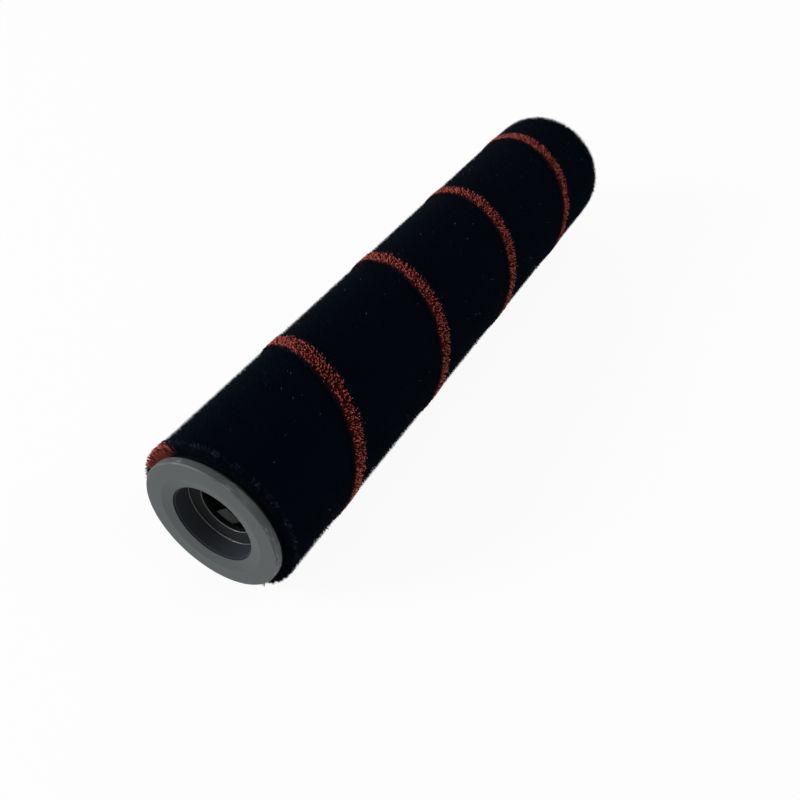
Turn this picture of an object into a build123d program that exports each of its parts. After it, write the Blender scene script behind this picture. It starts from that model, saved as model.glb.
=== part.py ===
from build123d import *
import math
import os

os.makedirs("parts", exist_ok=True)

# The roller lies along X on the flat spot of its plush, with the drive end at -X.
# Lengths are in millimetres and angles in degrees.

# Plush sleeve
pile_diameter = 48.0
pile_length = 217.6
pile_corner = 1.0
flat_depth = 0.35
backing_thickness = 0.85

# Red stripe: one left-handed helix, placed by where it crosses the top line
stripe_pitch = 50.4
stripe_width = 4.8
stripe_start = -3.2

# Core tube
tube_diameter = 38.0
tube_wall = 2.0
notch_count = 3
notch_width = 5.0
notch_depth = 6.0
lug_relief = 0.3

# End flanges, alike at both ends
flange_diameter = 41.6
flange_thickness = 2.6
pile_setback = 1.1
dish_diameter = 31.5
dish_depth = 0.7
mouth_diameter = 24.9
edge_break = 0.35
spigot_length = 12.0
spigot_wall = 2.4

# Drive socket
lip_thickness = 0.4
socket_diameter = 24.0
socket_depth = 5.95
land_width = 0.4
ledge_drop = 1.2
hole_diameter = 17.0
web_thickness = 1.6
pocket_diameter = 26.0
socket_length = 26.0
collar_diameter = 33.0
collar_thickness = 2.0

# Rib ring in the pocket of the drive socket
ring_wall = 0.9
ring_length = 3.2
rib_count = 3
rib_width = 5.5
rib_height = 3.0
rib_slant = 1.8
rib_angle = -61.0

# Ball bearing in the idle end
bearing_bore = 6.0
bearing_diameter = 19.0
bearing_width = 6.0
ball_diameter = 3.5
ball_count = 7
inner_race_diameter = 9.8
outer_race_diameter = 15.4
cage_thickness = 0.8
cage_width = 4.4
shield_thickness = 0.3
shield_inset = 0.1
shield_diameter = 16.5
shield_bore = 10.4

# Idle end cap, circlip and stub axle
bearing_inset = 3.0
hub_wall = 2.0
shoulder_diameter = 15.6
shoulder_length = 2.0
circlip_thickness = 0.9
circlip_groove = 0.6
circlip_width = 1.5
circlip_gap = 4.0
circlip_lug = 1.3
circlip_lug_angle = 17.0
circlip_hole = 0.5
axle_reach = 6.0
tongue_length = 2.4
tongue_diameter = 5.2
tongue_thickness = 3.0
axle_chamfer = 0.4
axle_collar_diameter = 8.6
axle_collar_length = 1.4
axle_tail = 1.3
washer_diameter = 9.2
washer_thickness = 0.9
clip_thickness = 0.7
clip_groove = 0.5
clip_diameter = 8.8
clip_gap = 3.0

# Clearances
fit = 0.05
seam = 0.15
press = 0.02
roll = 0.05
pocket_play = 0.1
lug_play = 0.2

# Sizes that follow from those above
pile_radius = pile_diameter / 2
axis_z = pile_radius - flat_depth
face_to_face = pile_length + 2 * (flange_thickness + pile_setback)
overall_length = face_to_face + axle_reach
drive_x = -overall_length / 2
idle_x = drive_x + face_to_face
pile_x = drive_x + flange_thickness + pile_setback
tube_x = drive_x + flange_thickness
tube_length = face_to_face - 2 * flange_thickness
tube_radius = tube_diameter / 2
tube_inner = tube_radius - tube_wall
backing_inner = tube_radius + fit
backing_outer = backing_inner + backing_thickness
pile_inner = backing_outer + fit
flange_radius = flange_diameter / 2
dish_radius = dish_diameter / 2
mouth_radius = mouth_diameter / 2
spigot_radius = tube_inner - fit
spigot_inner = spigot_radius - spigot_wall
lug_radius = tube_radius - lug_relief
bearing_x = idle_x - bearing_inset - bearing_width / 2
pitch_radius = (inner_race_diameter + outer_race_diameter) / 4
groove_radius = ball_diameter / 2 + roll
roller_axis = Axis((0, 0, axis_z), (1, 0, 0))


def lengthwise():
    """Plane through the roller's axis: local x runs along X, local y is the radius."""
    return Plane(origin=(0, 0, axis_z), x_dir=(1, 0, 0), z_dir=(0, -1, 0))


def across(x):
    """Plane square to the roller's axis at x: local x is Y and local y is Z."""
    return Plane(origin=(x, 0, axis_z), x_dir=(0, 1, 0), z_dir=(1, 0, 0))


# Core tube, notched at both ends for the lugs of the end caps
with BuildPart() as core_tube:
    with BuildSketch(across(tube_x)):
        Circle(tube_radius)
        Circle(tube_inner, mode=Mode.SUBTRACT)
    extrude(amount=tube_length)
    with BuildSketch(across(tube_x)):
        with PolarLocations(tube_radius - tube_wall / 2, notch_count):
            Rectangle(2 * tube_wall, notch_width)
    extrude(amount=notch_depth, mode=Mode.SUBTRACT)
    with BuildSketch(across(tube_x + tube_length)):
        with PolarLocations(tube_radius - tube_wall / 2, notch_count):
            Rectangle(2 * tube_wall, notch_width)
    extrude(amount=-notch_depth, mode=Mode.SUBTRACT)
core_tube.part.label = "core_tube"
export_step(core_tube.part, "parts/core_tube.step")

# Woven backing, glued round the tube
with BuildPart() as pile_backing:
    with BuildSketch(across(pile_x)):
        Circle(backing_outer)
        Circle(backing_inner, mode=Mode.SUBTRACT)
    extrude(amount=pile_length)
pile_backing.part.label = "pile_backing"
export_step(pile_backing.part, "parts/pile_backing.step")

# Both colours wind round the axis side by side from the top line, and each is what is left
# of the sleeve when the other's turns are cut out of it. A cut is taller than the plush.
pile_height = pile_radius - pile_inner
wind_radius = (pile_inner + pile_radius) / 2
cut_height = 1.5 * pile_height
stripe_x = drive_x + stripe_start
turn_count = math.ceil((idle_x - stripe_x) / stripe_pitch)

# Black plush: a sleeve with rounded ends and a helical gap, pressed flat where it lies
with BuildPart() as black_pile:
    with BuildSketch(lengthwise()) as black_sleeve:
        with Locations((pile_x + pile_length / 2, wind_radius)):
            Rectangle(pile_length, pile_height)
        fillet(black_sleeve.vertices().group_by(Axis.Y)[-1], pile_corner)
    revolve(axis=roller_axis)
    with Locations((0, 0, -pile_radius)):
        Box(2 * overall_length, pile_diameter, pile_diameter, mode=Mode.SUBTRACT)
    for index in range(turn_count):
        gap_x = stripe_x + index * stripe_pitch
        with BuildLine() as gap_path:
            Helix(stripe_pitch, stripe_pitch, wind_radius, (gap_x, 0, axis_z), (1, 0, 0), lefthand=True)
        with BuildSketch(lengthwise()):
            with Locations((gap_x, wind_radius)):
                Rectangle(stripe_width + seam, cut_height)
        sweep(path=gap_path.wires()[0], is_frenet=True, mode=Mode.SUBTRACT)
black_pile.part.label = "black_pile"
export_step(black_pile.part, "parts/black_pile.step")

# Red plush: the narrow band in that gap, flat and rounded in the same way
with BuildPart() as red_pile:
    with BuildSketch(lengthwise()) as red_sleeve:
        with Locations((pile_x + pile_length / 2, wind_radius)):
            Rectangle(pile_length, pile_height)
        fillet(red_sleeve.vertices().group_by(Axis.Y)[-1], pile_corner)
    revolve(axis=roller_axis)
    with Locations((0, 0, -pile_radius)):
        Box(2 * overall_length, pile_diameter, pile_diameter, mode=Mode.SUBTRACT)
    for index in range(turn_count + 1):
        band_x = stripe_x + (index - 0.5) * stripe_pitch
        with BuildLine() as band_path:
            Helix(stripe_pitch, stripe_pitch, wind_radius, (band_x, 0, axis_z), (1, 0, 0), lefthand=True)
        with BuildSketch(lengthwise()):
            with Locations((band_x, wind_radius)):
                Rectangle(stripe_pitch - stripe_width + seam, cut_height)
        sweep(path=band_path.wires()[0], is_frenet=True, mode=Mode.SUBTRACT)
red_pile.part.label = "red_pile"
export_step(red_pile.part, "parts/red_pile.step")

# Grey end cap of the drive end: dished flange, spigot in the tube, lugs in its notches
spigot_end = flange_thickness + spigot_length
lip_back = dish_depth + lip_thickness
with BuildPart() as drive_end_cap:
    with BuildSketch(lengthwise()):
        with Locations((drive_x, 0)):
            Polygon(
                (0, dish_radius),
                (0, flange_radius - edge_break),
                (edge_break, flange_radius),
                (flange_thickness - edge_break, flange_radius),
                (flange_thickness, flange_radius - edge_break),
                (flange_thickness, spigot_radius),
                (spigot_end, spigot_radius),
                (spigot_end, spigot_inner),
                (lip_back, spigot_inner),
                (lip_back, mouth_radius),
                (dish_depth, mouth_radius),
                align=None,
            )
    revolve(axis=roller_axis)
    with BuildSketch(across(drive_x + flange_thickness)):
        with PolarLocations((lug_radius + spigot_inner) / 2, notch_count):
            Rectangle(lug_radius - spigot_inner - spigot_wall / 2, notch_width - lug_play)
    extrude(amount=notch_depth - lug_play)
drive_end_cap.part.label = "drive_end_cap"
export_step(drive_end_cap.part, "parts/drive_end_cap.step")

# Dark drive socket: plain bore, conical ledge between two lands, hole, and a pocket behind it
socket_radius = socket_diameter / 2
socket_outer = spigot_inner - fit
hole_radius = hole_diameter / 2
pocket_radius = pocket_diameter / 2
collar_x = spigot_end + fit
ledge_x = socket_depth + ledge_drop
web_back = ledge_x + web_thickness
with BuildPart() as drive_socket:
    with BuildSketch(lengthwise()):
        with Locations((drive_x, 0)):
            Polygon(
                (lip_back + fit, socket_radius),
                (lip_back + fit, socket_outer),
                (collar_x, socket_outer),
                (collar_x, collar_diameter / 2),
                (collar_x + collar_thickness, collar_diameter / 2),
                (collar_x + collar_thickness, socket_outer),
                (socket_length, socket_outer),
                (socket_length, pocket_radius),
                (web_back, pocket_radius),
                (web_back, hole_radius),
                (ledge_x, hole_radius),
                (ledge_x, hole_radius + land_width),
                (socket_depth, socket_radius - land_width),
                (socket_depth, socket_radius),
                align=None,
            )
    revolve(axis=roller_axis)
drive_socket.part.label = "drive_socket"
export_step(drive_socket.part, "parts/drive_socket.step")

# Grey rib ring against the back of the web, with slanted ribs that the coupling pushes on
ring_x = drive_x + web_back + fit
ring_radius = pocket_radius - fit
rib_crest = pocket_radius - rib_height
with BuildPart() as rib_ring:
    for index in range(rib_count):
        turn = math.radians(rib_angle + index * 360 / rib_count)
        outward = Vector(0, math.cos(turn), math.sin(turn))
        rib_foot = Vector(ring_x, 0, axis_z) + outward * rib_crest
        with BuildSketch(Plane(origin=rib_foot, x_dir=(1, 0, 0), z_dir=outward)):
            Polygon(
                (0, -rib_width / 2),
                (ring_length, rib_slant - rib_width / 2),
                (ring_length, rib_slant + rib_width / 2),
                (0, rib_width / 2),
                align=None,
            )
        extrude(amount=rib_height)
    with BuildSketch(across(ring_x)):
        Circle(ring_radius)
    extrude(amount=ring_length, mode=Mode.INTERSECT)
    with BuildSketch(across(ring_x)):
        Circle(ring_radius)
        Circle(ring_radius - ring_wall, mode=Mode.SUBTRACT)
    extrude(amount=ring_length)
rib_ring.part.label = "rib_ring"
export_step(rib_ring.part, "parts/rib_ring.step")

# Grey end cap of the idle end: the same flange with a hub that holds the bearing
seat_radius = bearing_diameter / 2
hub_radius = seat_radius + hub_wall
seat_end = bearing_inset + bearing_width
hub_end = seat_end + shoulder_length
groove_back = bearing_inset - fit
groove_front = groove_back - circlip_thickness - 2 * fit
groove_floor = seat_radius + circlip_groove
with BuildPart() as idle_end_cap:
    with BuildSketch(lengthwise()):
        with Locations((idle_x, 0)):
            Polygon(
                (0, dish_radius),
                (0, flange_radius - edge_break),
                (-edge_break, flange_radius),
                (edge_break - flange_thickness, flange_radius),
                (-flange_thickness, flange_radius - edge_break),
                (-flange_thickness, spigot_radius),
                (-spigot_end, spigot_radius),
                (-spigot_end, spigot_inner),
                (-flange_thickness, spigot_inner),
                (-flange_thickness, hub_radius),
                (-hub_end, hub_radius),
                (-hub_end, shoulder_diameter / 2),
                (-seat_end, shoulder_diameter / 2),
                (-seat_end, seat_radius),
                (-groove_back, seat_radius),
                (-groove_back, groove_floor),
                (-groove_front, groove_floor),
                (-groove_front, seat_radius),
                (-dish_depth - edge_break, seat_radius),
                (-dish_depth, seat_radius + edge_break),
                (-dish_depth, mouth_radius),
                align=None,
            )
    revolve(axis=roller_axis)
    with BuildSketch(across(idle_x - flange_thickness)):
        with PolarLocations((lug_radius + spigot_inner) / 2, notch_count):
            Rectangle(lug_radius - spigot_inner - spigot_wall / 2, notch_width - lug_play)
    extrude(amount=lug_play - notch_depth)
idle_end_cap.part.label = "idle_end_cap"
export_step(idle_end_cap.part, "parts/idle_end_cap.step")

# Bearing: outer race with a ball groove and a rebate for each shield
rebate_depth = shield_inset + shield_thickness
with BuildPart() as bearing_outer_race:
    with BuildSketch(across(bearing_x - bearing_width / 2)):
        Circle(seat_radius - press)
        Circle(outer_race_diameter / 2, mode=Mode.SUBTRACT)
    extrude(amount=bearing_width)
    with BuildSketch(lengthwise()):
        with Locations((bearing_x, pitch_radius)):
            Circle(groove_radius)
    revolve(axis=roller_axis, mode=Mode.SUBTRACT)
    with BuildSketch(across(bearing_x - bearing_width / 2)):
        Circle(shield_diameter / 2 + press)
    extrude(amount=rebate_depth, mode=Mode.SUBTRACT)
    with BuildSketch(across(bearing_x + bearing_width / 2)):
        Circle(shield_diameter / 2 + press)
    extrude(amount=-rebate_depth, mode=Mode.SUBTRACT)
bearing_outer_race.part.label = "bearing_outer_race"
export_step(bearing_outer_race.part, "parts/bearing_outer_race.step")

# Bearing: inner race
with BuildPart() as bearing_inner_race:
    with BuildSketch(across(bearing_x - bearing_width / 2)):
        Circle(inner_race_diameter / 2)
        Circle(bearing_bore / 2 + press, mode=Mode.SUBTRACT)
    extrude(amount=bearing_width)
    with BuildSketch(lengthwise()):
        with Locations((bearing_x, pitch_radius)):
            Circle(groove_radius)
    revolve(axis=roller_axis, mode=Mode.SUBTRACT)
bearing_inner_race.part.label = "bearing_inner_race"
export_step(bearing_inner_race.part, "parts/bearing_inner_race.step")

# Bearing: balls
with BuildPart() as bearing_balls:
    with Locations(across(bearing_x)):
        with PolarLocations(pitch_radius, ball_count):
            Sphere(ball_diameter / 2)
bearing_balls.part.label = "bearing_balls"
export_step(bearing_balls.part, "parts/bearing_balls.step")

# Bearing: cage, one ring with a round pocket for each ball
with BuildPart() as bearing_cage:
    with BuildSketch(across(bearing_x - cage_width / 2)):
        Circle(pitch_radius + cage_thickness / 2)
        Circle(pitch_radius - cage_thickness / 2, mode=Mode.SUBTRACT)
    extrude(amount=cage_width)
    for index in range(ball_count):
        turn = math.radians(index * 360 / ball_count)
        outward = Vector(0, math.cos(turn), math.sin(turn))
        with BuildSketch(Plane(origin=(bearing_x, 0, axis_z), x_dir=(1, 0, 0), z_dir=outward)):
            Circle(ball_diameter / 2 + pocket_play)
        extrude(amount=pitch_radius + cage_thickness, mode=Mode.SUBTRACT)
bearing_cage.part.label = "bearing_cage"
export_step(bearing_cage.part, "parts/bearing_cage.step")

# Bearing: the two shields, pressed in the outer race
with BuildPart() as bearing_shields:
    with BuildSketch(across(bearing_x - bearing_width / 2 + shield_inset)):
        Circle(shield_diameter / 2)
        Circle(shield_bore / 2, mode=Mode.SUBTRACT)
    extrude(amount=shield_thickness)
    with BuildSketch(across(bearing_x + bearing_width / 2 - shield_inset)):
        Circle(shield_diameter / 2)
        Circle(shield_bore / 2, mode=Mode.SUBTRACT)
    extrude(amount=-shield_thickness)
bearing_shields.part.label = "bearing_shields"
export_step(bearing_shields.part, "parts/bearing_shields.step")

# Circlip that keeps the bearing in its seat, open at the bottom, with two plier holes
circlip_outer = groove_floor - fit
circlip_inner = seat_radius - circlip_width / 2
with BuildPart() as bearing_circlip:
    with BuildSketch(across(idle_x - groove_back + fit)):
        Circle(circlip_outer)
        Circle(circlip_inner, mode=Mode.SUBTRACT)
        with PolarLocations(circlip_inner, 1, start_angle=-90 - circlip_lug_angle):
            Circle(circlip_lug)
        with PolarLocations(circlip_inner, 1, start_angle=-90 + circlip_lug_angle):
            Circle(circlip_lug)
        with Locations((0, -seat_radius)):
            Rectangle(circlip_gap, 2 * circlip_width, mode=Mode.SUBTRACT)
        with PolarLocations(circlip_inner, 1, start_angle=-90 - circlip_lug_angle):
            Circle(circlip_hole, mode=Mode.SUBTRACT)
        with PolarLocations(circlip_inner, 1, start_angle=-90 + circlip_lug_angle):
            Circle(circlip_hole, mode=Mode.SUBTRACT)
    extrude(amount=circlip_thickness)
bearing_circlip.part.label = "bearing_circlip"
export_step(bearing_circlip.part, "parts/bearing_circlip.step")

# Stub axle: collar against the inner race, clip groove at its tail, tongue on its outer end
axle_radius = bearing_bore / 2
collar_back = bearing_inset - press
collar_front = collar_back - axle_collar_length
clip_front = seat_end + press + washer_thickness + press
clip_back = clip_front + clip_thickness + 2 * press
clip_floor = axle_radius - clip_groove
tail_end = clip_back + axle_tail
with BuildPart() as stub_axle:
    with BuildSketch(lengthwise()):
        with Locations((idle_x, 0)):
            Polygon(
                (axle_reach, 0),
                (axle_reach, tongue_diameter / 2 - axle_chamfer),
                (axle_reach - axle_chamfer, tongue_diameter / 2),
                (axle_reach - tongue_length, tongue_diameter / 2),
                (axle_reach - tongue_length, axle_radius),
                (-collar_front, axle_radius),
                (-collar_front, axle_collar_diameter / 2),
                (-collar_back, axle_collar_diameter / 2),
                (-collar_back, axle_radius),
                (-clip_front, axle_radius),
                (-clip_front, clip_floor),
                (-clip_back, clip_floor),
                (-clip_back, axle_radius),
                (axle_chamfer - tail_end, axle_radius),
                (-tail_end, axle_radius - axle_chamfer),
                (-tail_end, 0),
                align=None,
            )
    revolve(axis=roller_axis)
    with BuildSketch(across(idle_x + axle_reach)):
        with Locations((0, axle_radius + tongue_thickness / 2), (0, -axle_radius - tongue_thickness / 2)):
            Rectangle(2 * axle_radius, 2 * axle_radius)
    extrude(amount=-tongue_length, mode=Mode.SUBTRACT)
stub_axle.part.label = "stub_axle"
export_step(stub_axle.part, "parts/stub_axle.step")

# Washer between the inner race and the clip
with BuildPart() as axle_washer:
    with BuildSketch(across(idle_x - seat_end - press)):
        Circle(washer_diameter / 2)
        Circle(axle_radius + fit, mode=Mode.SUBTRACT)
    extrude(amount=-washer_thickness)
axle_washer.part.label = "axle_washer"
export_step(axle_washer.part, "parts/axle_washer.step")

# Clip in the groove of the axle's tail
with BuildPart() as axle_clip:
    with BuildSketch(across(idle_x - clip_front - press)):
        Circle(clip_diameter / 2)
        Circle(clip_floor + fit, mode=Mode.SUBTRACT)
        with Locations((0, -clip_diameter / 2)):
            Rectangle(clip_gap, clip_diameter, mode=Mode.SUBTRACT)
    extrude(amount=-clip_thickness)
axle_clip.part.label = "axle_clip"
export_step(axle_clip.part, "parts/axle_clip.step")
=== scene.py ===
"""Looks of a vacuum roller brush: plush sleeve with a red stripe, grey end caps and a ball bearing."""

import logging
import math
from dataclasses import dataclass, replace
from enum import Enum

import bmesh
import bpy
import numpy as np
from mathutils import Matrix, Vector


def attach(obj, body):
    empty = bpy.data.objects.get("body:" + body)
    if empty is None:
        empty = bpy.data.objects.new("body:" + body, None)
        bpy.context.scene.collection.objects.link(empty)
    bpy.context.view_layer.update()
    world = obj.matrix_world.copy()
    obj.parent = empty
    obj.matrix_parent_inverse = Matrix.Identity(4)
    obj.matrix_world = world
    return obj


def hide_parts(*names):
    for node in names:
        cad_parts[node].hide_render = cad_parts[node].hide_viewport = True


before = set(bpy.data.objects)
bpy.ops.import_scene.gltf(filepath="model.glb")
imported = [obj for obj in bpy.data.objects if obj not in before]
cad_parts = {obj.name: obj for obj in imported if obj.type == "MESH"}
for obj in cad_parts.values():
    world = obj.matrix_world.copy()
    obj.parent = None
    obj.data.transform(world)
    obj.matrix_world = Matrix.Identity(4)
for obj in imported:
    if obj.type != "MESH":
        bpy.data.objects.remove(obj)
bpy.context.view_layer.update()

log = logging.getLogger("roller_brush")
MM = 0.001

Rgb = tuple[float, float, float]
Span = tuple[float, float]
Waves = tuple[tuple[float, float, float], ...]
Place = tuple[float, float, float]
Array = np.ndarray
BMesh = bmesh.types.BMesh
Material = bpy.types.Material
Socket = bpy.types.NodeSocket
Feed = Socket | float | tuple[float, ...] | Vector
Piece = bpy.types.Object


class Colour(Enum):
    """The two colours of the plush."""

    BLACK = "black"
    RED = "red"


class End(Enum):
    """The two ends of the roller, with the direction that each faces along X."""

    DRIVE = -1
    IDLE = 1


@dataclass(frozen=True)
class RollerSizes:
    """Sizes of the roller, in millimetres, as the solids have them."""

    pile_radius: float = 24.0
    pile_length: float = 217.6
    pile_inner: float = 19.95
    pile_corner: float = 1.0
    axis_z: float = 23.65
    drive_x: float = -115.5
    idle_x: float = 109.5
    setback: float = 3.7

    @property
    def pile_start(self) -> float:
        """Where the plush begins at the drive end."""
        return self.drive_x + self.setback

    @property
    def pile_end(self) -> float:
        """Where the plush ends at the idle end."""
        return self.pile_start + self.pile_length

    def face(self, end: End) -> float:
        """Where the face of the flange lies at one end."""
        return self.drive_x if end is End.DRIVE else self.idle_x

    def pile_edge(self, end: End) -> float:
        """Where the plush stops at one end."""
        return self.pile_start if end is End.DRIVE else self.pile_end

    def point(self, x: Array, turn: Array, radius: Array) -> Array:
        """Points at places along X, angles from +Y towards +Z and distances from the axis."""
        return np.stack([x, radius * np.cos(turn), self.axis_z + radius * np.sin(turn)], axis=1)


SIZES = RollerSizes()
AXIS = Vector((0, 0, SIZES.axis_z * MM))


def waves(x: Array, turn: Array, terms: Waves) -> Array:
    """An uneven pattern over the sleeve: sines by their rates along and round it and their phase."""
    return sum(np.sin(x * along + turn * around + phase) for along, around, phase in terms)


@dataclass(frozen=True)
class RedStripe:
    """The red stripe in the plush: one left-handed helix with a ragged border, in millimetres."""

    pitch: float = 50.4
    width: float = 4.8
    start: float = -3.2
    slow_waves: Waves = ((1.7, 31, 0), (3.1, -53, 1), (5.3, 97, 2))
    slow_height: float = 0.09
    quick_waves: Waves = ((2.3, 173, 0), (4.1, -241, 2))
    quick_height: float = 0.16

    @property
    def first(self) -> float:
        """Where the middle of the stripe's first turn crosses the top of the roller."""
        return SIZES.drive_x + self.start

    def offset(self, x: Array, turn: Array) -> Array:
        """Signed distance along X from the middle of the nearest turn of the stripe."""
        middle = self.first - self.pitch * (turn - math.pi / 2) / math.tau
        return np.mod(x - middle + self.pitch / 2, self.pitch) - self.pitch / 2

    def covers(self, x: Array, turn: Array, width: float) -> Array:
        """Which places lie in a stripe of that width, with its ragged border."""
        ragged = self.offset(x, turn) + self.slow_height * waves(x, turn, self.slow_waves)
        return np.abs(ragged + self.quick_height * waves(x, turn, self.quick_waves)) < width / 2


STRIPE = RedStripe()


class NodeSheet:
    """The nodes of a material or of the world in work, with those that the finishes share."""

    def __init__(self, owner: Material | bpy.types.World, shader: str) -> None:
        """Starts the nodes.

        Args:
            owner: the material or the world.
            shader: the name of the shader that it starts with.
        """
        owner.use_nodes = True
        self.owner = owner
        self.nodes = owner.node_tree.nodes
        self.links = owner.node_tree.links
        self.shader = self.nodes[shader]

    @classmethod
    def material(cls, name: str) -> "NodeSheet":
        """The nodes of a fresh material of that name."""
        return cls(bpy.data.materials.new(name), "Principled BSDF")

    def node(self, kind: str, fed: dict[str | int, Feed], **settings: str) -> bpy.types.NodeOutputs:
        """Adds a node.

        Args:
            kind: the node's type.
            fed: for each input by name or place, its value or the socket that gives it.
            settings: the node's own settings.

        Returns:
            The node's outputs.
        """
        made = self.nodes.new(kind)
        for name, setting in settings.items():
            setattr(made, name, setting)
        for name, value in fed.items():
            if isinstance(value, Socket):
                self.links.new(value, made.inputs[name])
            else:
                made.inputs[name].default_value = value
        return made.outputs

    def fix(self, name: str, value: float | tuple[float, ...]) -> None:
        """Sets one of the shader's own values, the same all over."""
        self.shader.inputs[name].default_value = value

    def drive(self, name: str, socket: Socket) -> None:
        """Lets a pattern give one of the shader's values."""
        self.links.new(socket, self.shader.inputs[name])

    def place(self) -> Socket:
        """The place on the piece in Object coordinates, in metres."""
        return self.nodes.new("ShaderNodeTexCoord").outputs["Object"]

    def noise(self, vector: Socket, size: float, detail: float) -> Socket:
        """A pattern from 0 to 1 with features of a size in metres and some finer layers."""
        fed = {"Vector": vector, "Scale": 1 / size, "Detail": detail}
        return self.node("ShaderNodeTexNoise", fed)["Fac"]

    def mix(self, factor: Socket, low: Rgb | Socket, high: Rgb | Socket) -> Socket:
        """A blend of two colours, or of sockets that give them, by the share of the second."""
        low, high = (colour if isinstance(colour, Socket) else (*colour, 1) for colour in (low, high))
        return self.node("ShaderNodeMix", {"Factor": factor, "A": low, "B": high}, data_type="RGBA")["Result"]

    def ramp(self, value: Socket, before: Span, after: Span = (0.0, 1.0)) -> Socket:
        """One range of a value mapped to another, with a stop at its ends."""
        limits = dict(zip(("From Min", "From Max", "To Min", "To Max"), (*before, *after)))
        return self.node("ShaderNodeMapRange", {"Value": value, **limits})["Result"]

    def calculate(self, operation: str, first: Socket, second: Socket | float) -> Socket:
        """The result of one step of arithmetic."""
        return self.node("ShaderNodeMath", {0: first, 1: second}, operation=operation)["Value"]

    def bump(self, height: Socket, depth: float, strength: float) -> None:
        """Raises the surface by a pattern: its depth in metres and the share of it that shows."""
        fed = {"Height": height, "Distance": depth, "Strength": strength}
        self.drive("Normal", self.node("ShaderNodeBump", fed)["Normal"])

    def round_axis(self, place: Socket) -> tuple[Socket, Socket]:
        """How far a place is from the roller's axis and where it is along it.

        Args:
            place: the socket that gives the place, in metres.

        Returns:
            The sockets of the radius and of the place along X.
        """
        centred = self.node("ShaderNodeMapping", {"Vector": place, "Location": -AXIS})["Vector"]
        axes = self.node("ShaderNodeSeparateXYZ", {"Vector": centred})
        flat = self.node("ShaderNodeCombineXYZ", {"Y": axes["Y"], "Z": axes["Z"]})["Vector"]
        return self.node("ShaderNodeVectorMath", {0: flat}, operation="LENGTH")["Value"], axes["X"]

    def seen(self) -> Socket:
        """Picks out the rays that see the background: straight, by reflection or through glass.

        Returns:
            The socket that is 1 for those rays and 0 for others.
        """
        rays = self.node("ShaderNodeLightPath", {})
        found = rays["Is Camera Ray"]
        for kind in ("Is Glossy Ray", "Is Transmission Ray"):
            found = self.calculate("MAXIMUM", found, rays[kind])
        return found


@dataclass(frozen=True)
class PlushFinish:
    """Dense cut pile: fibres with painted shade at the root that fades towards the tip, and that vary from
    one to the next.
    """

    name: str
    # The root colour is painted shade at the foot of each fibre; the height attribute blends it into the tip
    # colour.
    root: Rgb
    tip_low: Rgb
    tip_high: Rgb
    sheen: float
    sheen_tint: Rgb
    gloss: float
    root_shade_share: float = 1.0
    roughness: float = 0.85
    sheen_roughness: float = 0.45

    def material(self) -> Material:
        """The finish as nodes that read the tone and the height from the fibres' attribute.

        Returns:
            The new material.
        """
        sheet = NodeSheet.material(self.name)
        strand = sheet.node("ShaderNodeAttribute", {}, attribute_name="strand")["Color"]
        parts = sheet.node("ShaderNodeSeparateColor", {"Color": strand})
        tips = sheet.mix(parts["Red"], self.tip_low, self.tip_high)
        # Painted root shade: the lower the point on the fibre, the more of the root colour.
        rise = sheet.calculate("POWER", parts["Green"], self.root_shade_share)
        sheet.drive("Base Color", sheet.mix(rise, self.root, tips))
        sheet.fix("Roughness", self.roughness)
        sheet.fix("Specular IOR Level", self.gloss)
        sheet.fix("Sheen Weight", self.sheen)
        sheet.fix("Sheen Roughness", self.sheen_roughness)
        sheet.fix("Sheen Tint", (*self.sheen_tint, 1))
        return sheet.owner


@dataclass(frozen=True)
class BedFinish:
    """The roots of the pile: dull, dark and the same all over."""

    name: str
    colour: Rgb
    roughness: float = 0.85
    gloss: float = 0.0

    def material(self) -> Material:
        """The finish as the shader's own values.

        Returns:
            The new material.
        """
        sheet = NodeSheet.material(self.name)
        # The bed's colour is the painted root shade of the plush.
        sheet.fix("Base Color", (*self.colour, 1))
        sheet.fix("Roughness", self.roughness)
        sheet.fix("Specular IOR Level", self.gloss)
        return sheet.owner


@dataclass(frozen=True)
class ScuffsAndEdgeHighlight:
    """Light scuffs on the rim of a flange: fine streaks round it, in patches, which reach onto the edge
    chamfer and paint a highlight line there.
    """

    colour: Rgb
    from_radius_mm: float
    fade_mm: float = 0.15
    streak_mm: float = 0.3
    streak_squeeze: float = 0.12
    streak_span: Span = (0.45, 0.6)
    streak_detail: float = 3.0
    patch_mm: float = 11.0
    patch_span: Span = (0.44, 0.56)
    patch_detail: float = 2.0

    def over(self, sheet: NodeSheet, colour: Socket) -> Socket:
        """Lays the scuffs and the painted edge highlight over a colour.

        Args:
            sheet: the material's nodes.
            colour: the socket of the colour underneath.

        Returns:
            The socket of the scuffed colour.
        """
        place = sheet.place()
        squeeze = (1.0, self.streak_squeeze, self.streak_squeeze)
        along = sheet.node("ShaderNodeMapping", {"Vector": place, "Scale": squeeze})["Vector"]
        radius, _ = sheet.round_axis(place)
        fade = ((self.from_radius_mm - self.fade_mm) * MM, (self.from_radius_mm + self.fade_mm) * MM)
        streaks = sheet.noise(along, self.streak_mm * MM, self.streak_detail)
        patches = sheet.noise(place, self.patch_mm * MM, self.patch_detail)
        found = sheet.ramp(radius, fade)
        for pattern, span in ((streaks, self.streak_span), (patches, self.patch_span)):
            found = sheet.calculate("MULTIPLY", found, sheet.ramp(pattern, span))
        return sheet.mix(found, colour, self.colour)


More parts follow.
